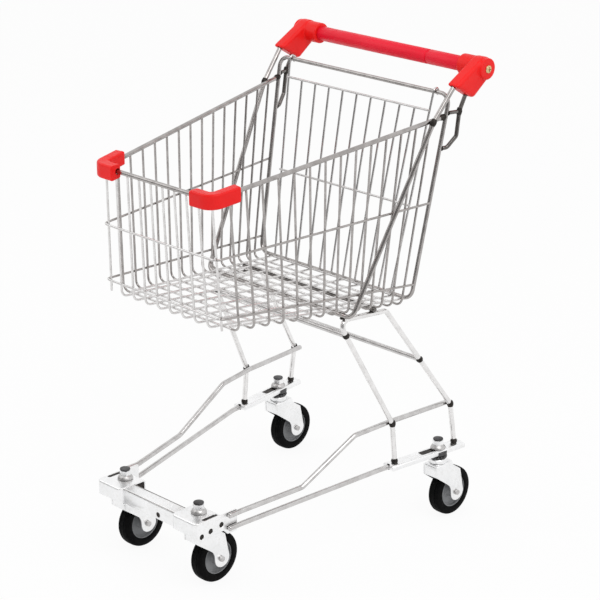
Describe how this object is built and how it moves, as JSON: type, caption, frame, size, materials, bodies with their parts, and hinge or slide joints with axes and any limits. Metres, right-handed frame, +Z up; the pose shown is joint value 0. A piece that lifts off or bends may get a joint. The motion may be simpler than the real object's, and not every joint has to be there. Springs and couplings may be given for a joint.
{
  "type": "shopping cart",
  "caption": "Wire shopping cart with a tapered chrome basket, hinged rear gate, red push handle and corner bumpers, rod chassis and swivel casters.",
  "frame": {"origin": "on the floor, under the centre of the cart's length and width", "axes": "+Z up, -Y the front of the cart, +X its right-hand side seen from the front"},
  "size_m": [0.5078, 0.6777, 0.9229],
  "materials": {
    "chrome_wire": "bright chrome plate",
    "zinc_steel": "bright zinc plate",
    "dark_steel": "dark oiled steel",
    "yellow_zinc": "yellow passivated",
    "red_plastic": "semi-gloss moulded plastic",
    "black_rubber": "matt",
    "grey_plastic": "satin moulded plastic"
  },
  "bodies": {
    "frame": {"basket_floor": "chrome_wire", "basket_front": "chrome_wire", "basket_rim": "chrome_wire", "basket_side_left": "chrome_wire", "basket_side_right": "chrome_wire", "bracket_screw_left": "yellow_zinc", "bracket_screw_right": "yellow_zinc", "caster_shoe_left": "zinc_steel", "caster_shoe_right": "zinc_steel", "corner_bumper_left": "red_plastic", "corner_bumper_right": "red_plastic", "floor_cross_rod": "chrome_wire", "front_carrier": "zinc_steel", "front_leg_tie": "chrome_wire", "handle_bar": "zinc_steel", "handle_bracket_left": "red_plastic", "handle_bracket_right": "red_plastic", "handle_grip": "red_plastic", "handle_stay_left": "chrome_wire", "handle_stay_right": "chrome_wire", "handle_strut": "chrome_wire", "kingpin_front_left": "dark_steel", "kingpin_front_right": "dark_steel", "kingpin_nut_front_left": "zinc_steel", "kingpin_nut_front_right": "zinc_steel", "kingpin_nut_rear_left": "zinc_steel", "kingpin_nut_rear_right": "zinc_steel", "kingpin_rear_left": "dark_steel", "kingpin_rear_right": "dark_steel", "leg_frame_left": "chrome_wire", "leg_frame_right": "chrome_wire", "lower_rail_left": "chrome_wire", "lower_rail_right": "chrome_wire", "rear_hoop": "chrome_wire", "rear_leg_tie": "chrome_wire", "swivel_head_front_left": "dark_steel", "swivel_head_front_right": "dark_steel", "swivel_head_rear_left": "dark_steel", "swivel_head_rear_right": "dark_steel", "upper_rail_left": "chrome_wire", "upper_rail_right": "chrome_wire"},
    "swivel_front_right": {"fork_front_right": "zinc_steel", "axle_front_right": "zinc_steel"},
    "wheel_front_right": {"tyre_front_right": "black_rubber", "wheel_core_front_right": "grey_plastic"},
    "swivel_front_left": {"fork_front_left": "zinc_steel", "axle_front_left": "zinc_steel"},
    "wheel_front_left": {"tyre_front_left": "black_rubber", "wheel_core_front_left": "grey_plastic"},
    "swivel_rear_right": {"fork_rear_right": "zinc_steel", "axle_rear_right": "zinc_steel"},
    "wheel_rear_right": {"tyre_rear_right": "black_rubber", "wheel_core_rear_right": "grey_plastic"},
    "swivel_rear_left": {"fork_rear_left": "zinc_steel", "axle_rear_left": "zinc_steel"},
    "wheel_rear_left": {"tyre_rear_left": "black_rubber", "wheel_core_rear_left": "grey_plastic"},
    "gate": {"gate": "chrome_wire"}
  },
  "joints": [
    {"name": "swivel_front_right", "type": "hinge", "parent": "frame", "child": "swivel_front_right", "pos_m": [0.104, -0.299, 0.122], "axis": [0, 0, 1], "continuous": true},
    {"name": "wheel_front_right", "type": "hinge", "parent": "swivel_front_right", "child": "wheel_front_right", "pos_m": [0.104, -0.263, 0.05], "axis": [1, 0, 0], "continuous": true},
    {"name": "swivel_front_left", "type": "hinge", "parent": "frame", "child": "swivel_front_left", "pos_m": [-0.104, -0.299, 0.122], "axis": [0, 0, 1], "continuous": true},
    {"name": "wheel_front_left", "type": "hinge", "parent": "swivel_front_left", "child": "wheel_front_left", "pos_m": [-0.104, -0.263, 0.05], "axis": [1, 0, 0], "continuous": true},
    {"name": "swivel_rear_right", "type": "hinge", "parent": "frame", "child": "swivel_rear_right", "pos_m": [0.225, 0.226, 0.122], "axis": [0, 0, 1], "continuous": true},
    {"name": "wheel_rear_right", "type": "hinge", "parent": "swivel_rear_right", "child": "wheel_rear_right", "pos_m": [0.225, 0.262, 0.05], "axis": [1, 0, 0], "continuous": true},
    {"name": "swivel_rear_left", "type": "hinge", "parent": "frame", "child": "swivel_rear_left", "pos_m": [-0.225, 0.226, 0.122], "axis": [0, 0, 1], "continuous": true},
    {"name": "wheel_rear_left", "type": "hinge", "parent": "swivel_rear_left", "child": "wheel_rear_left", "pos_m": [-0.225, 0.262, 0.05], "axis": [1, 0, 0], "continuous": true},
    {"name": "gate_hinge", "type": "hinge", "parent": "frame", "child": "gate", "pos_m": [0, 0.238, 0.862], "axis": [-1, 0, 0], "range_deg": [0, 65]}
  ]
}
